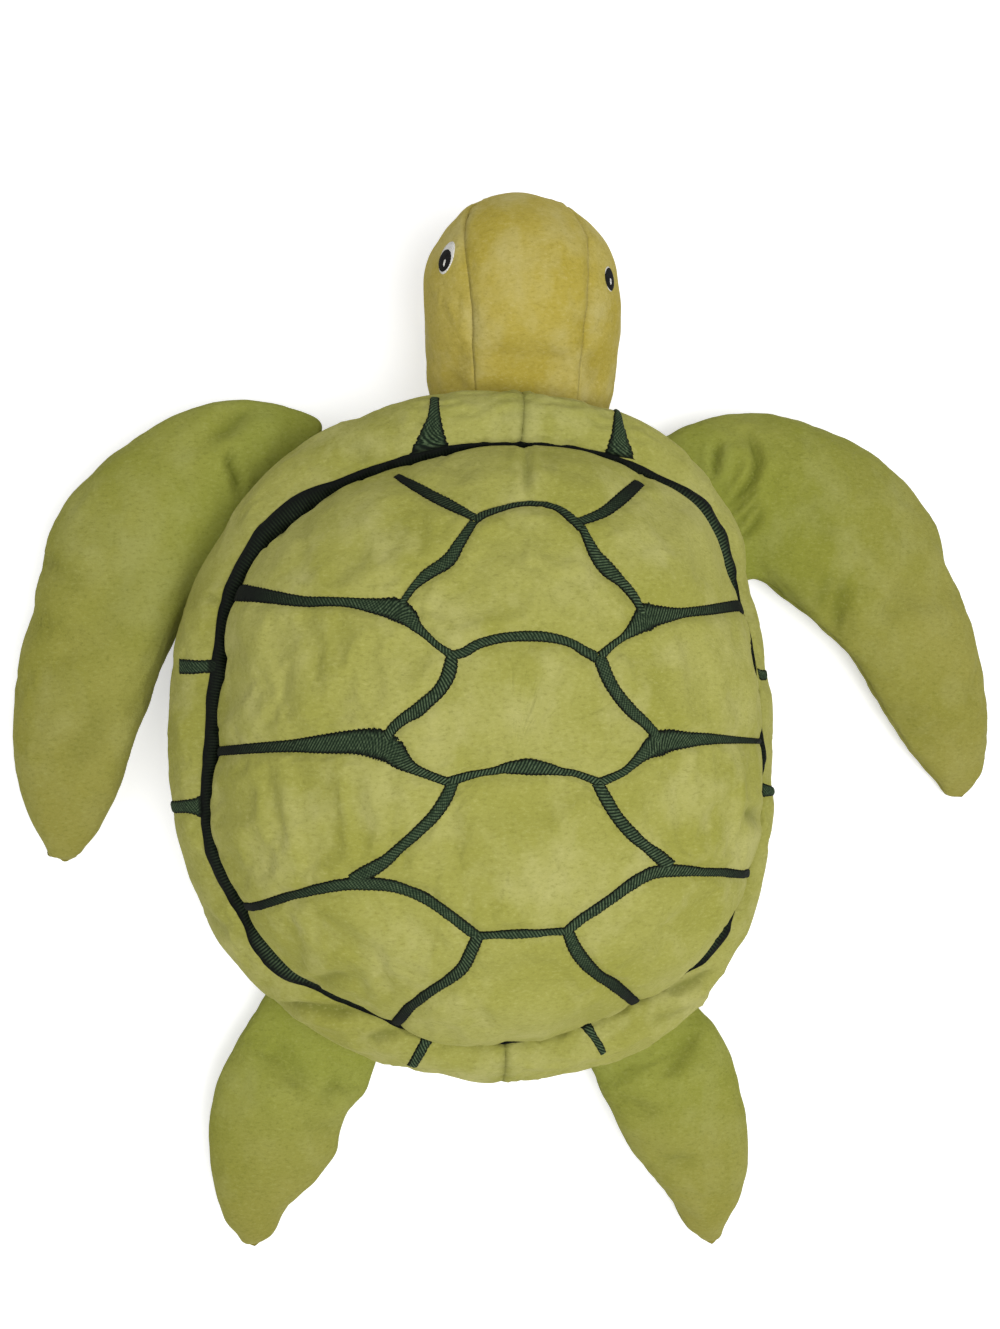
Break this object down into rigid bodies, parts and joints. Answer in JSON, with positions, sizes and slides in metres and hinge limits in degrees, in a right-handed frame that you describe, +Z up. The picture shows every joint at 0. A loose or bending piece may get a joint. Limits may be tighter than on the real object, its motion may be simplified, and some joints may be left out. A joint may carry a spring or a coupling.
{
  "type": "plush turtle",
  "caption": "Stuffed sea turtle toy lying on its belly, with a domed shell, padded rim, head and flippers that bend at their seams.",
  "frame": {"origin": "middle of the flat belly, on the surface that the toy lies on", "axes": "+Z up out of the shell, -Y towards the nose, +X towards the turtle's own left"},
  "size_m": [0.4373, 0.4508, 0.1131],
  "materials": {
    "shell_plush": "short olive green plush pile",
    "belly_plush": "short pale green plush pile",
    "flipper_plush": "short dark olive plush pile",
    "head_plush": "short mustard plush pile",
    "green_thread": "dark green satin stitch",
    "fibre_filling": "loose white polyester fibre",
    "white_thread": "white satin stitch",
    "black_thread": "black satin stitch"
  },
  "bodies": {
    "shell": {"shell_dome_cover": "shell_plush", "shell_rim_band_left": "shell_plush", "shell_rim_band_right": "shell_plush", "belly_panel": "belly_plush", "body_filling": "fibre_filling", "scute_embroidery": "green_thread", "rim_embroidery": "green_thread"},
    "head": {"head_crown_panel": "head_plush", "head_side_panel_left": "head_plush", "head_side_panel_right": "head_plush", "head_filling": "fibre_filling", "left_eye_white": "white_thread", "left_eye_pupil": "black_thread", "left_eye_glint": "white_thread", "right_eye_white": "white_thread", "right_eye_pupil": "black_thread", "right_eye_glint": "white_thread"},
    "front_left_flipper": {"front_left_flipper_upper_panel": "flipper_plush", "front_left_flipper_lower_panel": "flipper_plush", "front_left_flipper_filling": "fibre_filling"},
    "front_right_flipper": {"front_right_flipper_upper_panel": "flipper_plush", "front_right_flipper_lower_panel": "flipper_plush", "front_right_flipper_filling": "fibre_filling"},
    "rear_left_flipper": {"rear_left_flipper_upper_panel": "flipper_plush", "rear_left_flipper_lower_panel": "flipper_plush", "rear_left_flipper_filling": "fibre_filling"},
    "rear_right_flipper": {"rear_right_flipper_upper_panel": "flipper_plush", "rear_right_flipper_lower_panel": "flipper_plush", "rear_right_flipper_filling": "fibre_filling"}
  },
  "joints": [
    {"name": "neck_nod", "type": "hinge", "parent": "shell", "child": "head", "pos_m": [-0.017, -0.125, 0.031], "axis": [-1, 0, 0], "range_deg": [-20, 12], "stiffness_Nm_per_rad": 0.8},
    {"name": "front_left_flap", "type": "hinge", "parent": "shell", "child": "front_left_flipper", "pos_m": [0.086, -0.084, 0.015], "axis": [-0.1736, -0.9848, 0], "range_deg": [-20, 22], "stiffness_Nm_per_rad": 0.5},
    {"name": "front_right_flap", "type": "hinge", "parent": "shell", "child": "front_right_flipper", "pos_m": [-0.086, -0.084, 0.015], "axis": [-0.1736, 0.9848, 0], "range_deg": [-20, 22], "stiffness_Nm_per_rad": 0.5},
    {"name": "rear_left_flap", "type": "hinge", "parent": "shell", "child": "rear_left_flipper", "pos_m": [0.0585, 0.101, 0.014], "axis": [0.8746, -0.4848, 0], "range_deg": [-20, 22], "stiffness_Nm_per_rad": 0.3},
    {"name": "rear_right_flap", "type": "hinge", "parent": "shell", "child": "rear_right_flipper", "pos_m": [-0.0585, 0.101, 0.014], "axis": [0.8746, 0.4848, 0], "range_deg": [-20, 22], "stiffness_Nm_per_rad": 0.3}
  ]
}
